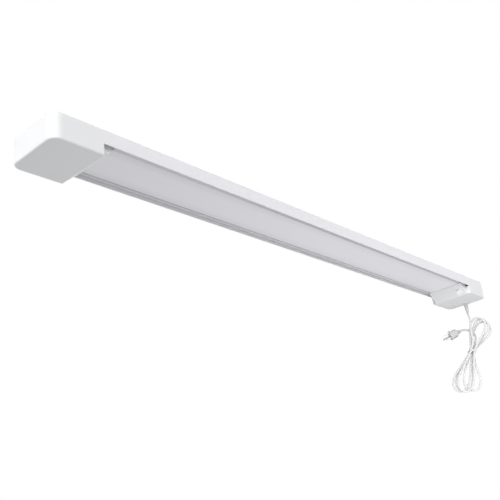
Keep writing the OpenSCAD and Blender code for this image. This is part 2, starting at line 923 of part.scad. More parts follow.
// ---------- rocker switch ----------

module on_ramp() {
    translate(switch_at)
        rotate([180, ramp_angle, 0]) children();
}

// A point given in the switch's own directions
function switch_point(p) = switch_at
    + p[0] * [cos(ramp_angle), 0, -sin(ramp_angle)]
    + p[1] * [0, -1, 0]
    + p[2] * [-sin(ramp_angle), 0, -cos(ramp_angle)];

module centred_box(l, w, from, to) {
    translate([-l / 2, -w / 2, from]) cube([l, w, to - from]);
}

module switch_frame() {
    color([0.97, 0.97, 0.97])
        on_ramp()
            difference() {
                union() {
                    centred_box(bezel_len, bezel_w, 0, bezel_t);
                    centred_box(
                        2 * (well_half_len + frame_wall), 2 * (well_half_w + frame_wall),
                        -frame_depth, bezel_t / 2
                    );
                    for (s = [-1, 1])
                        translate([s * (well_half_len + frame_wall), 0, -cap_wall - slip - 1])
                            centred_box(1, 6, -1, 1);
                }
                centred_box(
                    2 * well_half_len, 2 * well_half_w, rocker_pivot - rocker_depth - 1.5, bezel_t + cut
                );
                translate([0, -well_half_w - 0.5, rocker_pivot])
                    rotate([-90, 0, 0]) cylinder(r = trunnion_r + trunnion_play, h = 2 * well_half_w + 1);
                for (s = [-1, 1])
                    translate([s * terminal_offset, 0, 0])
                        centred_box(1, 5, -frame_depth - cut, -frame_depth + 3);
            }
}

module switch_rocker() {
    half = rocker_len / 2;
    rise = half * tan(rocker_throw / 2);
    color([0.98, 0.98, 0.98])
        on_ramp()
            translate([0, 0, rocker_pivot])
                rotate([0, rocker_throw / 2, 0]) {
                    translate([0, rocker_w / 2, 0])
                        rotate([90, 0, 0])
                            linear_extrude(rocker_w)
                                polygon([
                                    [-half, -1.5], [-half, rocker_mid + rise], [0, rocker_mid],
                                    [half, rocker_mid + rise], [half, -1.5],
                                    [2, -rocker_depth], [-2, -rocker_depth]
                                ]);
                    translate([0, -well_half_w - 0.4, 0])
                        rotate([-90, 0, 0]) cylinder(r = trunnion_r, h = 2 * well_half_w + 0.8);
                }
}

module switch_terminals() {
    color([0.78, 0.66, 0.35])
        on_ramp()
            for (s = [-1, 1])
                translate([s * terminal_offset, 0, 0])
                    centred_box(0.8, 4.8, -frame_depth - terminal_len, -frame_depth + 2.9);
}

// ---------- strain relief and cord ----------

module strain_relief() {
    top = cap_low - flange_h;
    step = (top - sleeve_low - 2) / rib_count;
    bore = cord_r + slip;
    function sleeve_r(z) = cord_r + 0.9 + 1.7 * (z - sleeve_low) / (top - sleeve_low);
    color([0.9, 0.9, 0.9])
        translate([exit_x, 0, 0])
            rotate_extrude()
                polygon(concat(
                    [[bore, sleeve_low], [sleeve_r(sleeve_low), sleeve_low]],
                    [
                        for (i = [0:rib_count - 1])
                            let (z = sleeve_low + 2 + i * step)
                                for (q = [[0, 0], [-0.6, 0.3], [-0.6, 1.2], [0, 1.5]])
                                    [sleeve_r(z + q[1]) + q[0], z + q[1]]
                    ],
                    [
                        [sleeve_r(top), top], [collar_r, top], [collar_r, cap_low], [neck_r, cap_low],
                        [neck_r, cap_floor], [collar_r, cap_floor], [collar_r, cap_floor + collar_h],
                        [bore, cap_floor + collar_h]
                    ]
                ));
}

// Hank directions: across the loops, down the hank, and through the stack of loops
level_dir = [cos(hank_heading), -sin(hank_heading), 0];
across_dir = cos(hank_tilt) * level_dir - sin(hank_tilt) * [0, 0, 1];
down_dir = -cos(hank_tilt) * [0, 0, 1] - sin(hank_tilt) * level_dir;
stack_dir = [sin(hank_heading), cos(hank_heading), 0];

function hank_place(p) = waist_at + p[0] * across_dir + p[1] * down_dir + p[2] * stack_dir;

// Level of the stack at turn angle t: it climbs one step as each run comes back to the waist
function stack_level(t) =
    let (turn = floor((t + 90) / 360), within = (t + 90) % 360 - 90)
        waist_step * (turn + ease((within - 190) / 70) - (half_turns - 1) / 4);

// One point of the hank at turn angle t, in the hank's own directions
function loop_point(t) =
    let (
        k = min(half_turns - 1, floor((t + 90) / 180)),
        a = t - 180 * k,
        s = k % 2 == 0 ? 1 : -1,
        next = min(half_turns - 1, max(0, k + (a > 0 ? 1 : -1))),
        swing = loop_swing[k] + (loop_swing[next] - loop_swing[k]) * ease((abs(a) - 40) / 100),
        down = s * loop_reach[k] * cos(a),
        across = s * sin(a) * (waist_half + loop_bulge[k] * pow(max(0, cos(a)), fold_power))
    )
        [
            across * cos(swing) - down * sin(swing),
            down * cos(swing) + across * sin(swing),
            stack_level(t)
        ];

hank_level = waist_step * (half_turns - 1) / 4;
last_turn_angle = 180 * half_turns - 90;

function hank_points(rings) = concat(
    [[-waist_half, -lead_in, -hank_level], [-waist_half, cord_d - lead_in, -hank_level]],
    [for (i = [0:rings * half_turns / 2 - 1]) loop_point(360 * i / rings - 90)],
    [
        [waist_half, 0, hank_level],
        [waist_half, cord_d - lead_in, hank_level], [waist_half, -lead_in, hank_level]
    ]
);

hank_first = hank_place([-waist_half, -lead_in, -hank_level]);
hank_last = hank_place([waist_half, -lead_in, hank_level]);

// Least distance between runs of the route that lie more than three diameters apart along it
function finer(route, n) = [
    for (i = [0:len(route) - 2])
        for (k = [0:n - 1]) route[i] + (route[i + 1] - route[i]) * k / n
];
function step_to(route, i) = i < len(route) ? norm(route[i] - route[i - 1]) : 0;
function travelled(route) = [
    for (i = 0, s = 0; i < len(route); i = i + 1, s = s + step_to(route, i)) s
];
function self_gap(route) =
    let (s = travelled(route))
        min([
            for (i = [0:len(route) - 1])
                for (j = [i + 1:1:len(route) - 1])
                    if (s[j] - s[i] > 4 * cord_d) norm(route[i] - route[j])
        ]) - cord_d;

module cord_hank() {
    points = hank_points(loop_rings);
    echo(hank_gap_to_itself = self_gap(finer(points, 4)));
    echo(hank_length = travelled(points)[len(points) - 1]);
    color([0.86, 0.86, 0.85])
        tube([for (p = points) hank_place(p)], cord_r, 6);
}

module cord_lead() {
    route = concat(
        [[exit_x, 0, sleeve_low], [exit_x, 0, sleeve_low - cord_d]],
        lead_route,
        [hank_first - cord_d * down_dir, hank_first]
    );
    echo(lead_length = travelled(route)[len(route) - 1]);
    color([0.86, 0.86, 0.85]) tube(route, cord_r, 10);
}

plug_dir = heading(plug_heading, -plug_droop);

module cord_tail() {
    route = concat(
        [hank_last, hank_last - cord_d * down_dir],
        tail_route,
        [plug_at - cord_d * plug_dir, plug_at]
    );
    echo(tail_length = travelled(route)[len(route) - 1]);
    color([0.86, 0.86, 0.85]) tube(route, cord_r, 10);
}

// Flat band round the waist: half-width across the loops, half-depth through the stack
module band_outline(w, d, r) {
    square([2 * w, 2 * (d - r)], center = true);
    square([2 * (w - r), 2 * d], center = true);
    for (x = [-1, 1], y = [-1, 1])
        translate([x * (w - r), y * (d - r)]) circle(r);
}

module cord_tie() {
    w = waist_half + cord_r + tie_slack;
    d = hank_level + cord_r + tie_slack;
    color([0.9, 0.9, 0.9])
        multmatrix([
            [across_dir[0], stack_dir[0], down_dir[0], waist_at[0]],
            [across_dir[1], stack_dir[1], down_dir[1], waist_at[1]],
            [across_dir[2], stack_dir[2], down_dir[2], waist_at[2]],
            [0, 0, 0, 1]
        ])
            translate([0, 0, -tie_half])
                linear_extrude(2 * tie_half)
                    difference() {
                        band_outline(w + tie_t, d + tie_t, cord_r + tie_slack + tie_t);
                        band_outline(w, d, cord_r + tie_slack);
                    }
}

// ---------- plug ----------

module along_plug() {
    translate(plug_at)
        rotate([0, 90 + plug_droop, plug_heading]) children();
}

module plug_body() {
    color([0.82, 0.82, 0.82])
        along_plug()
            difference() {
                intersection() {
                    rotate_extrude()
                        polygon([
                            [0, 0], [cord_r + 1, 0], [cord_r + 2, plug_neck], [plug_w * 0.4, plug_neck + 5],
                            [plug_w * 0.52, plug_len - 3], [plug_w * 0.5, plug_len], [0, plug_len]
                        ]);
                    centred_box(plug_w, plug_w - 3, -cut, plug_len + cut);
                }
                for (s = [-1, 1])
                    translate([s * blade_gap / 2, blade_shift, 0])
                        centred_box(
                            blade_t + slip, blade_w + slip, plug_len - blade_root - slip, plug_len + cut
                        );
                translate([0, pin_shift, 0])
                    hole_up(pin_r + slip / 2, plug_len - blade_root - slip, plug_len + cut);
            }
}

module plug_blades() {
    color([0.8, 0.76, 0.6])
        along_plug()
            for (s = [-1, 1])
                translate([s * blade_gap / 2, blade_shift, 0])
                    centred_box(blade_t, blade_w, plug_len - blade_root, plug_len + blade_len);
}

module plug_ground_pin() {
    color([0.8, 0.76, 0.6])
        along_plug()
            translate([0, pin_shift, 0]) {
                hole_up(pin_r, plug_len - blade_root, plug_len + blade_len + 1);
                translate([0, 0, plug_len + blade_len + 1])
                    cylinder(r1 = pin_r, r2 = pin_r / 2, h = pin_tip);
            }
}

housing();
plain_end_cap();
cord_end_cap();
lens();
lens_rail_left();
lens_rail_right();
led_tray();
tray_rivets();
led_board_1();
led_board_2();
led_board_3();
led_board_4();
led_chips();
board_connectors();
row_jumper();
board_screws();
cap_screws();
driver_case();
driver_cover();
insulating_sheet();
driver_board();
driver_transformer();
driver_capacitors();
driver_screws();
terminal_block();
ground_screw();
cord_stub();
line_core();
neutral_core();
ground_core();
switch_wires();
neutral_wire();
led_wire_plus();
led_wire_minus();
switch_frame();
switch_rocker();
switch_terminals();
strain_relief();
cord_lead();
cord_hank();
cord_tail();
cord_tie();
plug_body();
plug_blades();
plug_ground_pin();
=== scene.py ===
"""Hanging shop light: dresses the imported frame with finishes, the mains cord, its tie and its plug.
Metres, in the frame's own axes: the origin is the centre of the housing's top, +X runs to the cord end.
The cord, its tie and its plug are written in millimetres, and scaled where each one's mesh is made."""
import bpy
import bmesh
from math import cos, floor, pi, radians, sin, tau
from mathutils import Matrix, Vector


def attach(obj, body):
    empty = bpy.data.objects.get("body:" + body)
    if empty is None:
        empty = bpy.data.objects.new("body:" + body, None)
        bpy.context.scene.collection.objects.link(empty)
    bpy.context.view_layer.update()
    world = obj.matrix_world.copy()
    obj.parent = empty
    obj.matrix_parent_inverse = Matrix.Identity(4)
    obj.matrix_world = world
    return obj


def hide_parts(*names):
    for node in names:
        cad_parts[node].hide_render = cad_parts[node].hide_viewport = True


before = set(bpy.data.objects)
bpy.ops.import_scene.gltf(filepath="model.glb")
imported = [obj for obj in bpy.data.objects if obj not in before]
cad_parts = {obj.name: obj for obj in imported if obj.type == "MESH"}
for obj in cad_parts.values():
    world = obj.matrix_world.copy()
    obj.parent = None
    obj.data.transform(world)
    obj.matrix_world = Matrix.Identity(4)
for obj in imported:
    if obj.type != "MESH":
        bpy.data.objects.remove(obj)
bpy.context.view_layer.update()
MM = 0.001


def add_object(name, data):
    made = bpy.data.objects.new(name, data)
    bpy.context.scene.collection.objects.link(made)
    return made


# ---------- camera and cord come first ----------

# Where the photograph was taken from, its right, up and view directions, and its lens
VIEW_FROM = Vector((-1.0632, -0.7330, -0.5590))
VIEW_RIGHT = Vector((0.67548, -0.72884, -0.11187))
VIEW_UP = Vector((-0.21504, -0.33983, 0.91557))
VIEW_AHEAD = Vector((0.70532, 0.59440, 0.38628))
VIEW_LENS, VIEW_SENSOR = 52.91, 36
VIEW_REACH = 200  # past the floor's far edge


def place_camera():
    """Camera at the photograph's viewing angle, looking up along the housing from its plain end."""
    camera = add_object("camera", bpy.data.cameras.new("camera"))
    camera.data.sensor_width = VIEW_SENSOR
    camera.data.lens = VIEW_LENS
    camera.data.clip_end = VIEW_REACH
    turn = Matrix((VIEW_RIGHT, VIEW_UP, -VIEW_AHEAD)).transposed().to_4x4()
    camera.matrix_world = Matrix.Translation(VIEW_FROM) @ turn
    bpy.context.scene.camera = camera


CORD_D = 5.0
EXIT = Vector((598, 0, -64))  # tip of the strain relief

# Hank: flattened loops side by side, each drawn in at the waist. Each entry is half a turn.
LOOP_REACH = (103, 84, 96, 86, 104, 84, 98)
LOOP_BULGE = (36, 34, 40, 34, 36, 36, 38)
LOOP_SWING = (0, -1, -12, 7, 6, 13, 0)
SWING_FROM, SWING_OVER = 40, 100  # degrees past a loop's tip where it turns to its neighbour's swing
STEP_FROM, STEP_OVER = 190, 70    # degrees into a turn where it steps over to the next level
FOLD_POWER = 1.6
WAIST_AT = Vector((602.3, 13.8, -158))
WAIST_HALF = 4.2
WAIST_STEP = 6.6
HANK_TILT = radians(25)
HANK_HEADING = radians(50)
LEAD_IN = 14
LEAD_ROUTE = ((597.2, -1.8, -82), (594.9, -1.9, -96), (594.6, 0, -108), (596, 1.8, -120), (597.8, 2.7, -131))
TAIL_ROUTE = ((622, 8.7, -132.8), (626.1, 6.9, -121.8), (626, 8.6, -112.6), (622.7, 12.9, -105.3),
              (616.8, 18.8, -101.2))
PLUG_AT = Vector((603.1, 30.6, -101.4))
PLUG_HEADING = radians(130)
PLUG_DROOP = radians(18)

LEVEL = Vector((cos(HANK_HEADING), -sin(HANK_HEADING), 0))
UP = Vector((0, 0, 1))
ACROSS = cos(HANK_TILT) * LEVEL - sin(HANK_TILT) * UP
DOWN = -cos(HANK_TILT) * UP - sin(HANK_TILT) * LEVEL
STACK = Vector((sin(HANK_HEADING), cos(HANK_HEADING), 0))
HALF_TURNS = len(LOOP_REACH)
HANK_LEVEL = WAIST_STEP * (HALF_TURNS - 1) / 4
PLUG_DIR = Vector((cos(PLUG_HEADING) * cos(PLUG_DROOP), sin(PLUG_HEADING) * cos(PLUG_DROOP), -sin(PLUG_DROOP)))


def ease(x):
    return (1 - cos(pi * min(1, max(0, x)))) / 2


def hank_place(across, down, level):
    return WAIST_AT + across * ACROSS + down * DOWN + level * STACK


def loop_point(t):
    """One point of the hank at turn angle t, in degrees."""
    k = min(HALF_TURNS - 1, floor((t + 90) / 180))
    a = t - 180 * k
    side = 1 if k % 2 == 0 else -1
    beside = min(HALF_TURNS - 1, max(0, k + (1 if a > 0 else -1)))
    swing = radians(LOOP_SWING[k] + (LOOP_SWING[beside] - LOOP_SWING[k]) * ease((abs(a) - SWING_FROM) / SWING_OVER))
    bend = radians(a)
    down = side * LOOP_REACH[k] * cos(bend)
    across = side * sin(bend) * (WAIST_HALF + LOOP_BULGE[k] * max(0, cos(bend)) ** FOLD_POWER)
    turn, within = (t + 90) // 360, (t + 90) % 360 - 90
    level = WAIST_STEP * (turn + ease((within - STEP_FROM) / STEP_OVER)) - HANK_LEVEL
    return hank_place(across * cos(swing) - down * sin(swing), down * cos(swing) + across * sin(swing), level)


def cord_points(rings=24):
    """The whole cord, from the strain relief through the hank to the plug."""
    hank = [hank_place(-WAIST_HALF, -LEAD_IN, -HANK_LEVEL), hank_place(-WAIST_HALF, CORD_D - LEAD_IN, -HANK_LEVEL)]
    hank += [loop_point(360 * i / rings - 90) for i in range(rings * HALF_TURNS // 2)]
    hank += [hank_place(WAIST_HALF, d, HANK_LEVEL) for d in (0, CORD_D - LEAD_IN, -LEAD_IN)]
    lead = [EXIT, EXIT - CORD_D * UP] + [Vector(p) for p in LEAD_ROUTE] + [hank[0] - CORD_D * DOWN]
    tail = [hank[-1] - CORD_D * DOWN] + [Vector(p) for p in TAIL_ROUTE] + [PLUG_AT - CORD_D * PLUG_DIR, PLUG_AT]
    return lead + hank + tail


def smooth_curve(name, points, radius):
    """A round cord through the points, as one open spline."""
    data = bpy.data.curves.new(name, "CURVE")
    data.dimensions = "3D"
    data.bevel_depth = 1  # times each knot's radius, which also keeps the curve's bounds true
    data.bevel_resolution = 4
    data.resolution_u = 5
    data.use_fill_caps = True
    spline = data.splines.new("BEZIER")
    last = len(points) - 1
    spline.bezier_points.add(last)
    for i, (knot, p) in enumerate(zip(spline.bezier_points, points)):
        before, after = points[max(i - 1, 0)], points[min(i + 1, last)]
        way = (after - before).normalized()
        knot.handle_left_type = knot.handle_right_type = "FREE"
        knot.co = p * MM
        knot.radius = radius * MM
        knot.handle_left = (p - way * (p - before).length / 3) * MM
        knot.handle_right = (p + way * (after - p).length / 3) * MM
    return add_object(name, data)


def run_length(points):
    return sum((b - a).length for a, b in zip(points, points[1:]))


place_camera()
route = cord_points()
mains_cord = smooth_curve("mains_cord", route, CORD_D / 2)
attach(mains_cord, "light")
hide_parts("cord_lead", "cord_hank", "cord_tail")
CORD_LENGTH = run_length(route) * MM


# ---------- shader sockets as numbers ----------

class Amount:
    """A node's output that takes part in plain arithmetic."""

    def __init__(self, maker, socket):
        self.maker, self.socket = maker, socket

    def calc(self, operation, *inputs):
        return self.maker.node("ShaderNodeMath", {"operation": operation}, *inputs)

    def __add__(self, other): return self.calc("ADD", self, other)
    def __radd__(self, other): return self.calc("ADD", other, self)
    def __sub__(self, other): return self.calc("SUBTRACT", self, other)
    def __rsub__(self, other): return self.calc("SUBTRACT", other, self)
    def __mul__(self, other): return self.calc("MULTIPLY", self, other)
    def __rmul__(self, other): return self.calc("MULTIPLY", other, self)
    def larger(self, other): return self.calc("MAXIMUM", self, other)
    def size(self): return self.calc("ABSOLUTE", self)

    def above(self, edge, soft):
        """0 below edge and 1 above it, over a soft width."""
        return self.maker.node("ShaderNodeMapRange", {"interpolation_type": "SMOOTHSTEP"},
                               self, edge - soft, edge + soft, 0.0, 1.0)


class NodeMaker:
    """Makes and feeds the nodes of one tree."""

    def __init__(self, tree):
        self.tree = tree

    def put(self, socket, value):
        """Links an amount to a socket, or sets the socket to a plain value."""
        if isinstance(value, Amount):
            self.tree.links.new(value.socket, socket)
        elif socket.type == "RGBA" and len(value) == 3:
            socket.default_value = (*value, 1)
        else:
            socket.default_value = value

    def node(self, kind, settings, *inputs, output=0, **named):
        """One node: its settings first, then its sockets, in order or by name."""
        made = self.tree.nodes.new(kind)
        for key, value in settings.items():
            setattr(made, key, value)
        for socket, value in zip([s for s in made.inputs if s.enabled], inputs):
            self.put(socket, value)
        for key, value in named.items():
            self.put(made.inputs[key.replace("_", " ")], value)
        return Amount(self, made.outputs[output]) if made.outputs else made

    def mix(self, amount, a, b):
        """Colour a where the amount is 0, and b where it is 1."""
        return self.node("ShaderNodeMix", {"data_type": "RGBA"}, amount, a, b, output=2)


def shade(colour, factor):
    return tuple(min(1, c * factor) for c in colour)


class Finish(NodeMaker):
    """One procedural material: its nodes and the shader they feed."""

    def __init__(self, name, colour, **fixed):
        self.material = bpy.data.materials.new(name)
        self.material.use_nodes = True
        self.material.diffuse_color = (*colour, 1)
        super().__init__(self.material.node_tree)
        self.shader = self.tree.nodes["Principled BSDF"]
        self.place = self.node("ShaderNodeTexCoord", {}, output="Object")
        for socket, value in fixed.items():
            self.feed(socket.replace("_", " "), value)

    def feed(self, name, value):
        self.put(self.shader.inputs[name], value)

    def noise(self, scale, detail=3.0, rough=0.5, place=None):
        return self.node("ShaderNodeTexNoise", {}, Vector=place or self.place, Scale=scale,
                         Detail=detail, Roughness=rough)

    def spots(self, scale, feature="F1"):
        return self.node("ShaderNodeTexVoronoi", {"feature": feature}, Vector=self.place, Scale=scale)

    def stretched(self, x, y, z):
        """The place, scaled by a factor along each axis, so that a pattern runs longer where it is small."""
        return self.node("ShaderNodeVectorMath", {"operation": "MULTIPLY"}, self.place, (x, y, z))

    def axis(self, name):
        return self.node("ShaderNodeSeparateXYZ", {}, self.place, output=name)

    def tint(self, amount, colour, low, high):
        """The colour at low times its lightness where the amount is 0, and at high times where it is 1."""
        return self.mix(amount, shade(colour, low), shade(colour, high))

    def bump(self, height, distance, strength):
        self.feed("Normal", self.node("ShaderNodeBump", {}, Strength=strength, Distance=distance, Height=height))


# ---------- finishes ----------

def powder_coat(name, colour, roughness=0.42):
    """White powder coat on sheet steel: fine orange peel, faint handling marks and dust."""
    f = Finish(name, colour)
    cloud = f.noise(5, 4, 0.55)
    streak = f.noise(9, 3, 0.6, f.stretched(0.25, 2.5, 1.5))
    wear = f.noise(38, 5, 0.65).above(0.66, 0.08) * 0.35
    dull = cloud * 0.5 + streak * 0.5
    f.feed("Base Color", f.mix(wear, f.tint(dull, colour, 0.985, 1.015), shade(colour, 0.95)))
    f.feed("Roughness", roughness - 0.06 + dull * 0.12 + wear * 0.2)
    f.bump(f.noise(700, 2, 0.5) + 0.35 * f.noise(2600, 1, 0.5), 0.00006, 0.55)
    return f.material


def moulded(name, colour, roughness=0.46, grain=1900, depth=0.00004):
    """Injection moulded plastic with a fine spark-eroded grain and a faint flow pattern."""
    f = Finish(name, colour)
    flow = f.noise(14, 3, 0.5, f.stretched(0.6, 1, 1))
    rub = f.noise(60, 4, 0.6).above(0.68, 0.06)
    f.feed("Base Color", f.mix(rub * 0.3, f.tint(flow, colour, 0.985, 1.015), shade(colour, 0.95)))
    f.feed("Roughness", roughness + flow * 0.06 - rub * 0.06)
    f.bump(f.spots(grain) + f.noise(grain * 0.7, 2), depth, 0.5)
    return f.material


LENS_FLAT = 0.0363                   # half width of the lens's flat face, out to its slanted sides
LENS_SHADE_FROM, LENS_SHADE_SOFT = 0.027, 0.010  # where painted shade from the skirts starts on the face, and how softly


def frosted_lens(name, colour):
    """Frosted extruded diffuser: lavender white, faint lines along it, with painted shade towards its edges and
    darker painted shade on its slanted sides.
    """
    f = Finish(name, colour, Coat_Roughness=0.25)
    lines = f.noise(40, 2, 0.5, f.stretched(0.02, 8, 1))
    cloud = f.noise(3, 3, 0.5)
    off_middle = f.axis("Y").size()
    # painted shade: the face greys towards both edges, in place of the skirts' shadow
    edge = off_middle.above(LENS_SHADE_FROM, LENS_SHADE_SOFT)
    # painted shade: the slanted sides take a much darker colour, in place of the shadowed gap beside the skirts
    side = off_middle.above(LENS_FLAT, 0.0003)
    face = f.mix(edge, f.tint(0.5 * lines + 0.5 * cloud, colour, 0.98, 1.02), shade(colour, 0.91))
    f.feed("Base Color", f.mix(side, face, shade(colour, 0.62)))
    f.feed("Roughness", 0.3 + 0.08 * cloud)
    f.feed("Coat Weight", 0.25 + 0.1 * lines)
    f.bump(lines + 0.5 * f.noise(1500, 2), 0.00004, 0.4)
    return f.material


def metal(name, colour, roughness=0.35, along=(1, 1, 1)):
    """Plated or galvanised steel, or brass, with drawn lines and stains."""
    f = Finish(name, colour, Metallic=1.0)
    lines = f.noise(600, 3, 0.6, f.stretched(*along))
    stain = f.noise(55, 4, 0.6)
    f.feed("Base Color", f.tint(stain, colour, 0.86, 1.08))
    f.feed("Roughness", roughness - 0.08 + 0.1 * lines + 0.12 * stain)
    f.bump(lines, 0.00001, 0.15)
    return f.material


def sheath(name, colour, roughness=0.55):
    """Soft vinyl on a cord or wire, or insulating paper: rubbed patches and a fine skin."""
    f = Finish(name, colour, Specular_IOR_Level=0.4)
    cloud = f.noise(30, 4, 0.6)
    rub = f.noise(160, 3, 0.6).above(0.62, 0.08)
    f.feed("Base Color", f.mix(0.4 * rub, f.tint(cloud, colour, 0.96, 1.04), shade(colour, 0.88)))
    f.feed("Roughness", roughness - 0.05 + 0.12 * cloud)
    f.bump(f.noise(900, 3, 0.6), 0.00008, 0.4)
    return f.material


def circuit(name, mask, copper):
    """Solder mask over copper tracks that stand slightly proud, with tinned pads."""
    f = Finish(name, mask)
    tracks = f.spots(180, "DISTANCE_TO_EDGE").above(0.09, 0.02)
    pads = 1 - f.spots(330).above(0.12, 0.02)
    f.feed("Base Color", f.mix(pads, f.mix(tracks, shade(mask, 0.9), mask), copper))
    f.feed("Roughness", 0.38 - pads * 0.1)
    f.feed("Metallic", pads * 0.9)
    f.bump(tracks + pads, 0.00004, 0.6)
    return f.material


def phosphor(name, colour):
    """Speckled yellow phosphor of the LEDs."""
    f = Finish(name, colour)
    speckle = f.noise(2600, 2, 0.6)
    f.feed("Base Color", f.tint(speckle, colour, 0.9, 1.08))
    f.feed("Roughness", 0.2 + 0.15 * speckle)
    f.bump(speckle, 0.00002, 0.5)
    return f.material


finishes = {
    "housing_paint": powder_coat("white_powder_coat", (0.805, 0.80, 0.825)),
    "cap_plastic": moulded("white_cap_plastic", (0.80, 0.805, 0.81)),
    "lens": frosted_lens("frosted_diffuser", (0.872, 0.867, 0.903)),
    "rail_paint": powder_coat("rail_paint", (0.72, 0.72, 0.74), 0.4),
    "reflector": powder_coat("reflector_paint", (0.84, 0.85, 0.86), 0.3),
    "board": circuit("white_solder_mask", (0.84, 0.85, 0.86), (0.72, 0.70, 0.64)),
    "led_phosphor": phosphor("led_phosphor", (0.90, 0.74, 0.30)),
    "connector_plastic": moulded("connector_plastic", (0.82, 0.82, 0.77), 0.4, 2400),
    "white_wire": sheath("white_wire", (0.80, 0.80, 0.78)),
    "black_wire": sheath("black_wire", (0.03, 0.03, 0.033)),
    "green_wire": sheath("green_wire", (0.07, 0.33, 0.13)),
    "red_wire": sheath("red_wire", (0.55, 0.045, 0.035)),
    "steel": metal("zinc_plate", (0.66, 0.67, 0.69), 0.34),
    "driver_steel": metal("galvanised_steel", (0.62, 0.63, 0.65), 0.42, (0.2, 1, 1)),
    "insulation": sheath("insulating_paper", (0.80, 0.76, 0.60), 0.7),
    "circuit_green": circuit("green_solder_mask", (0.03, 0.20, 0.09), (0.70, 0.69, 0.66)),
    "ferrite": moulded("ferrite_core", (0.06, 0.06, 0.065), 0.6, 1500),
    "capacitor_sleeve": moulded("capacitor_sleeve", (0.03, 0.035, 0.07), 0.28, 2600),
    "switch_plastic": moulded("gloss_switch_plastic", (0.95, 0.95, 0.955), 0.2, 3000, 0.00001),
    "brass": metal("plated_brass", (0.80, 0.68, 0.42), 0.25),
    "plug_metal": metal("nickel_plate", (0.74, 0.73, 0.70), 0.24),
    "cord_sheath": sheath("cord_sheath", (0.68, 0.68, 0.68)),
    "plug_vinyl": sheath("plug_vinyl", (0.58, 0.58, 0.58), 0.5),
    "tie": moulded("tie_plastic", (0.67, 0.67, 0.675), 0.4, 2200),
}

WEARS = {
    "housing_paint": ["housing"],
    "cap_plastic": ["plain_end_cap", "cord_end_cap"],
    "lens": ["lens"],
    "rail_paint": ["lens_rail_left", "lens_rail_right"],
    "reflector": ["led_tray"],
    "board": ["led_board_1", "led_board_2", "led_board_3", "led_board_4"],
    "led_phosphor": ["led_chips"],
    "connector_plastic": ["board_connectors", "terminal_block"],
    "white_wire": ["row_jumper", "neutral_core", "neutral_wire"],
    "black_wire": ["line_core", "switch_wires", "led_wire_minus"],
    "green_wire": ["ground_core"],
    "red_wire": ["led_wire_plus"],
    "steel": ["board_screws", "cap_screws", "driver_screws", "tray_rivets", "ground_screw"],
    "driver_steel": ["driver_case", "driver_cover"],
    "insulation": ["insulating_sheet"],
    "circuit_green": ["driver_board"],
    "ferrite": ["driver_transformer"],
    "capacitor_sleeve": ["driver_capacitors"],
    "switch_plastic": ["switch_frame", "switch_rocker"],
    "brass": ["switch_terminals"],
    "plug_metal": ["plug_blades", "plug_ground_pin"],
    "cord_sheath": ["cord_stub", "strain_relief", "cord_lead", "cord_hank", "cord_tail", "plug_body"],
    "tie": ["cord_tie"],
}
FRAME_CREASE, PIECE_CREASE = radians(32), radians(38)  # edges sharper than this aren't smoothed


def dress(obj, finish):
    obj.data.materials.clear()
    obj.data.materials.append(finishes[finish])


def smooth(mesh_data, crease):
    mesh_data.shade_smooth()
    mesh_data.set_sharp_from_angle(angle=crease)


for worn, names in WEARS.items():
    for name in names:
        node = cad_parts[name]
        dress(node, worn)
        smooth(node.data, FRAME_CREASE)

dress(mains_cord, "cord_sheath")


# ---------- pieces built in mesh ----------

def finish_mesh(name, mesh, finish):
    """Turns a bmesh into a dressed piece that rides on the light."""
    bmesh.ops.recalc_face_normals(mesh, faces=mesh.faces)
    data = bpy.data.meshes.new(name)
    mesh.to_mesh(data)
    mesh.free()
    smooth(data, PIECE_CREASE)
    piece = add_object(name, data)
    dress(piece, finish)
    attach(piece, "light")
    return piece


def skin(rings, joined=False):
    """A bmesh skinned over a row of rings, which has two end faces, or is joined to itself."""
    mesh = bmesh.new()
    rows = [[mesh.verts.new(p * MM) for p in ring] for ring in rings]
    if joined:
        rows.append(rows[0])
    n = len(rows[0])
    for a, b in zip(rows, rows[1:]):
        for i in range(n):
            mesh.faces.new((a[i], a[(i + 1) % n], b[(i + 1) % n], b[i]))
    if not joined:
        mesh.faces.new(rows[0])
        mesh.faces.new(rows[-1])
    return mesh


# Plug, in millimetres: each entry is the place along it, its half width and how square it is
PLUG_LEN, PLUG_W = 30.0, 23.0
NECK, FULL = CORD_D / 2 + 1, PLUG_W / 2
PLUG_FLAT = (PLUG_W - 3) / 2  # half width across its flat sides
PLUG_NECK = [(0.0, NECK - 0.4, 2.0), (1.2, NECK, 2.0), (7.0, NECK + 1.2, 2.0), (9.0, NECK + 2.4, 2.2),
             (11.0, 8.0, 2.6), (13.0, 9.6, 3.0), (15.0, 10.1, 3.2)]
RIB_FROM, RIB_PITCH, RIB_COUNT, RIB_SQUARE = 16.0, 2.4, 4, 3.2
RIB = ((0.0, 10.2), (0.5, 9.7), (1.3, 9.7), (1.8, 10.3))
PLUG_FACE = [(26.0, FULL - 0.6, 3.4), (27.0, FULL, 3.6), (PLUG_LEN - 0.6, FULL, 3.6), (PLUG_LEN, FULL - 0.7, 3.6)]
PLUG_INSET = 0.98  # keeps the moulding inside the solid that it replaces
PLUG_SIDES = 40


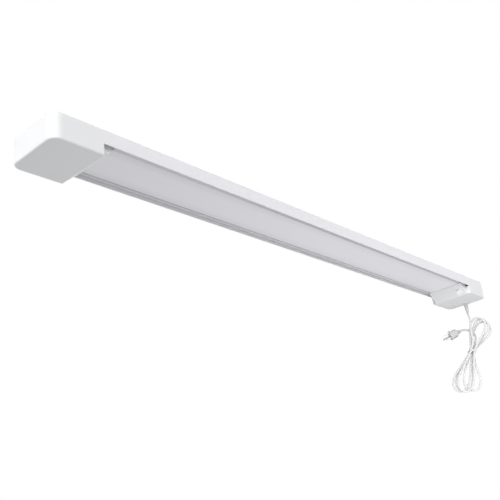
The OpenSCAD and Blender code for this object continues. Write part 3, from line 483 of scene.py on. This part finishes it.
def plug_moulding():
    """Moulded plug: a neck that swells into a flat-sided grip with finger ribs."""
    # the turn that the part's source gives it: pitched by 90 degrees and its droop, then its heading
    turn = Matrix.Rotation(PLUG_HEADING, 3, "Z") @ Matrix.Rotation(pi / 2 + PLUG_DROOP, 3, "Y")
    wide, thick = turn @ Vector((1, 0, 0)), turn @ Vector((0, 1, 0))
    ribs = [(RIB_FROM + RIB_PITCH * i + z, r, RIB_SQUARE) for i in range(RIB_COUNT) for z, r in RIB]
    rings = []
    for z, r, square in PLUG_NECK + ribs + PLUG_FACE:
        ring = []
        for i in range(PLUG_SIDES):
            ca, sa = cos(tau * i / PLUG_SIDES), sin(tau * i / PLUG_SIDES)
            k = (abs(ca) ** square + abs(sa) ** square) ** (-1 / square) * PLUG_INSET
            ring.append(PLUG_AT + PLUG_DIR * z + wide * (r * k * ca) + thick * (min(r, PLUG_FLAT) * k * sa))
        rings.append(ring)
    piece = finish_mesh("plug_moulding", skin(rings), "plug_vinyl")
    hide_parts("plug_body")
    return piece


# Tie, in millimetres: its section, as how far it stands out and its place across its width
TIE_SLACK = 0.65
TIE_SECTION = ((0.0, -2.0), (0.3, -2.2), (0.75, -1.5), (0.75, -0.5), (0.45, 0.0), (0.75, 0.5),
               (0.75, 1.5), (0.3, 2.2), (0.0, 2.0))
TIE_CORNER_STEPS = 8


def hank_tie():
    """Flat plastic tie round the hank's waist, with rounded edges and a shallow groove round its middle."""
    corner = CORD_D / 2 + TIE_SLACK
    rings = []
    for x, y, start in ((WAIST_HALF, HANK_LEVEL, 0), (-WAIST_HALF, HANK_LEVEL, 90),
                        (-WAIST_HALF, -HANK_LEVEL, 180), (WAIST_HALF, -HANK_LEVEL, 270)):
        for i in range(TIE_CORNER_STEPS + 1):
            a = radians(start + 90 * i / TIE_CORNER_STEPS)
            rings.append([hank_place(x + (corner + out) * cos(a), along, y + (corner + out) * sin(a))
                          for out, along in TIE_SECTION])
    piece = finish_mesh("waist_tie", skin(rings, joined=True), "tie")
    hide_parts("cord_tie")
    return piece


plug = plug_moulding()
tie = hank_tie()


# ---------- world, lamps and floor ----------

WORLD_COLOUR, WORLD_LEVEL = (0.985, 0.985, 1.0), 0.465
SUNS = (  # name, which way its light goes, strength and spread in degrees
    ("lamp_end", (1.0, 0.36, -0.25), 2.65, 50),
    ("lamp_side", (0.1, 1.0, -0.25), 0.7, 50),
    ("lamp_back", (-0.7, -1.0, -0.45), 0.9, 60),
)
LOW_AT, LOW_TOWARDS = (0.33, -0.22, -1.05), (0.05, 0.25, 1.0)
LOW_SIZE, LOW_POWER = 0.9, 4.15
FLOOR_LEVEL, FLOOR_HALF = -2.2, 40
FLOOR_SEEN, FLOOR_GLOW = (0.96, 0.96, 0.96), (0.22, 0.22, 0.22)


def white_world():
    """Soft light on the object, and plain white wherever the world itself is seen."""
    world = bpy.data.worlds.new("studio")
    bpy.context.scene.world = world
    world.use_nodes = True
    world.node_tree.nodes.clear()
    sky = NodeMaker(world.node_tree)
    camera, glossy, through = (sky.node("ShaderNodeLightPath", {}, output=ray)
                               for ray in ("Is Camera Ray", "Is Glossy Ray", "Is Transmission Ray"))
    soft = sky.node("ShaderNodeBackground", {}, WORLD_COLOUR, WORLD_LEVEL)
    white = sky.node("ShaderNodeBackground", {}, (1, 1, 1), 1.0)
    sky.node("ShaderNodeOutputWorld", {},
             sky.node("ShaderNodeMixShader", {}, camera.larger(glossy).larger(through), soft, white))


def add_lamp(name, kind, towards):
    lamp = add_object(name, bpy.data.lights.new(name, kind))
    lamp.rotation_mode = "QUATERNION"
    lamp.rotation_quaternion = Vector(towards).to_track_quat("-Z", "Y")
    return lamp


def lamps():
    """Three broad lamps from the end, the side and the back, and a wide soft one below."""
    for name, towards, strength, spread in SUNS:
        sun = add_lamp(name, "SUN", towards)
        sun.data.energy = strength
        sun.data.angle = radians(spread)
    low = add_lamp("lamp_low", "AREA", LOW_TOWARDS)
    low.data.shape = "DISK"
    low.data.size = LOW_SIZE
    low.data.energy = LOW_POWER
    low.location = LOW_AT
    low.visible_camera = False


def pale_floor():
    """Plain floor well below the hanging light, which looks white and lights as a pale grey."""
    mesh = bmesh.new()
    bmesh.ops.create_grid(mesh, x_segments=4, y_segments=4, size=FLOOR_HALF)
    bmesh.ops.translate(mesh, verts=mesh.verts, vec=(0, 0, FLOOR_LEVEL))
    data = bpy.data.meshes.new("floor")
    mesh.to_mesh(data)
    mesh.free()
    sheet = add_object("floor", data)
    pale = Finish("pale_floor", (0.75, 0.75, 0.75), Roughness=0.8, Emission_Strength=1.0)
    seen = pale.node("ShaderNodeLightPath", {}, output="Is Camera Ray")
    tone = pale.mix(pale.noise(2, 3), (0.59, 0.59, 0.59), (0.61, 0.61, 0.61))
    pale.feed("Base Color", pale.mix(seen, tone, FLOOR_SEEN))
    pale.feed("Emission Color", pale.mix(seen, (0, 0, 0), FLOOR_GLOW))
    data.materials.append(pale.material)


white_world()
lamps()
pale_floor()
bpy.context.scene.view_settings.view_transform = "Standard"
